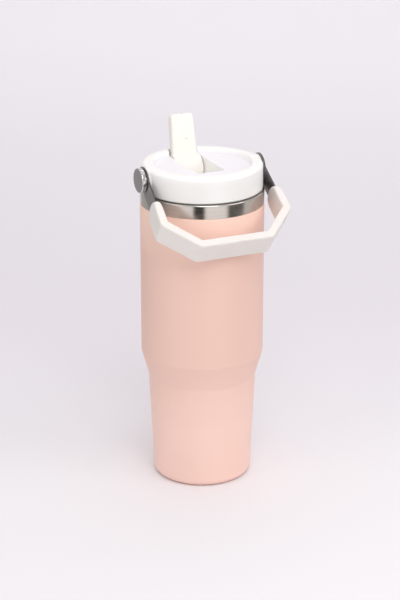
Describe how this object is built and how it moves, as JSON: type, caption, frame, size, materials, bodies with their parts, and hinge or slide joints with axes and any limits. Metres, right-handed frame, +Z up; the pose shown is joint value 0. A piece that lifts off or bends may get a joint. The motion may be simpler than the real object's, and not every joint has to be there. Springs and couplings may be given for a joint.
{
  "type": "insulated straw tumbler with lid",
  "caption": "Double-walled steel tumbler with a stepped coated body, a screw-in lid with a flip-up drinking spout and straw, and a swinging bail carry handle.",
  "frame": {"origin": "centre of the flat underside of the base cover, on the surface the tumbler stands on", "axes": "+Z up along the cup's axis; X along the handle's pivot axis; the handle hangs towards -Y and the spout folds down towards -Y"},
  "size_m": [0.0988, 0.1049, 0.2618],
  "materials": {
    "coated_steel": "pale pink powder coat, fine satin texture",
    "brushed_steel": "circumferential brushing",
    "sheet_steel": "plain mill finish",
    "pivot_steel": "turned face, polished edge",
    "white_plastic": "satin moulded",
    "plug_plastic": "fine matt moulded",
    "spout_plastic": "soft-touch satin",
    "grip_plastic": "satin moulded",
    "silicone": "translucent matt",
    "straw_plastic": "translucent extruded",
    "bush_plastic": "natural acetal",
    "brass": "turned",
    "solder_glass": "fired bead"
  },
  "bodies": {
    "cup": {"outer_shell": "coated_steel", "inner_liner": "brushed_steel", "base_cover": "sheet_steel", "vacuum_bottom": "sheet_steel", "vacuum_seal": "solder_glass", "getter_disc": "sheet_steel"},
    "gasket": {"lid_gasket": "silicone"},
    "lid": {"lid_cap": "white_plastic", "lid_plug": "plug_plastic", "vent_valve": "silicone", "spout_seal": "silicone", "straw_adapter": "plug_plastic", "straw": "straw_plastic", "pivot_screw_right": "pivot_steel", "pivot_screw_left": "pivot_steel", "pivot_bush_right": "bush_plastic", "pivot_bush_left": "bush_plastic", "threaded_insert_right": "brass", "threaded_insert_left": "brass"},
    "handle": {"handle_strap": "brushed_steel", "handle_grip": "grip_plastic"},
    "spout": {"spout": "spout_plastic"}
  },
  "joints": [
    {"name": "lid_lift", "type": "slide", "parent": "cup", "child": "gasket", "axis": [0, 0, 1], "range_m": [0, 0.215]},
    {"name": "lid_turn", "type": "hinge", "parent": "gasket", "child": "lid", "pos_m": [0, 0, 0.217], "axis": [0, 0, 1], "range_deg": [0, 450]},
    {"name": "handle_swing", "type": "hinge", "parent": "lid", "child": "handle", "pos_m": [0, 0, 0.2274], "axis": [-1, 0, 0], "range_deg": [0, 251.2]},
    {"name": "spout_flip", "type": "hinge", "parent": "lid", "child": "spout", "pos_m": [0, 0.029, 0.2235], "axis": [1, 0, 0], "range_deg": [0, 101.85]}
  ]
}
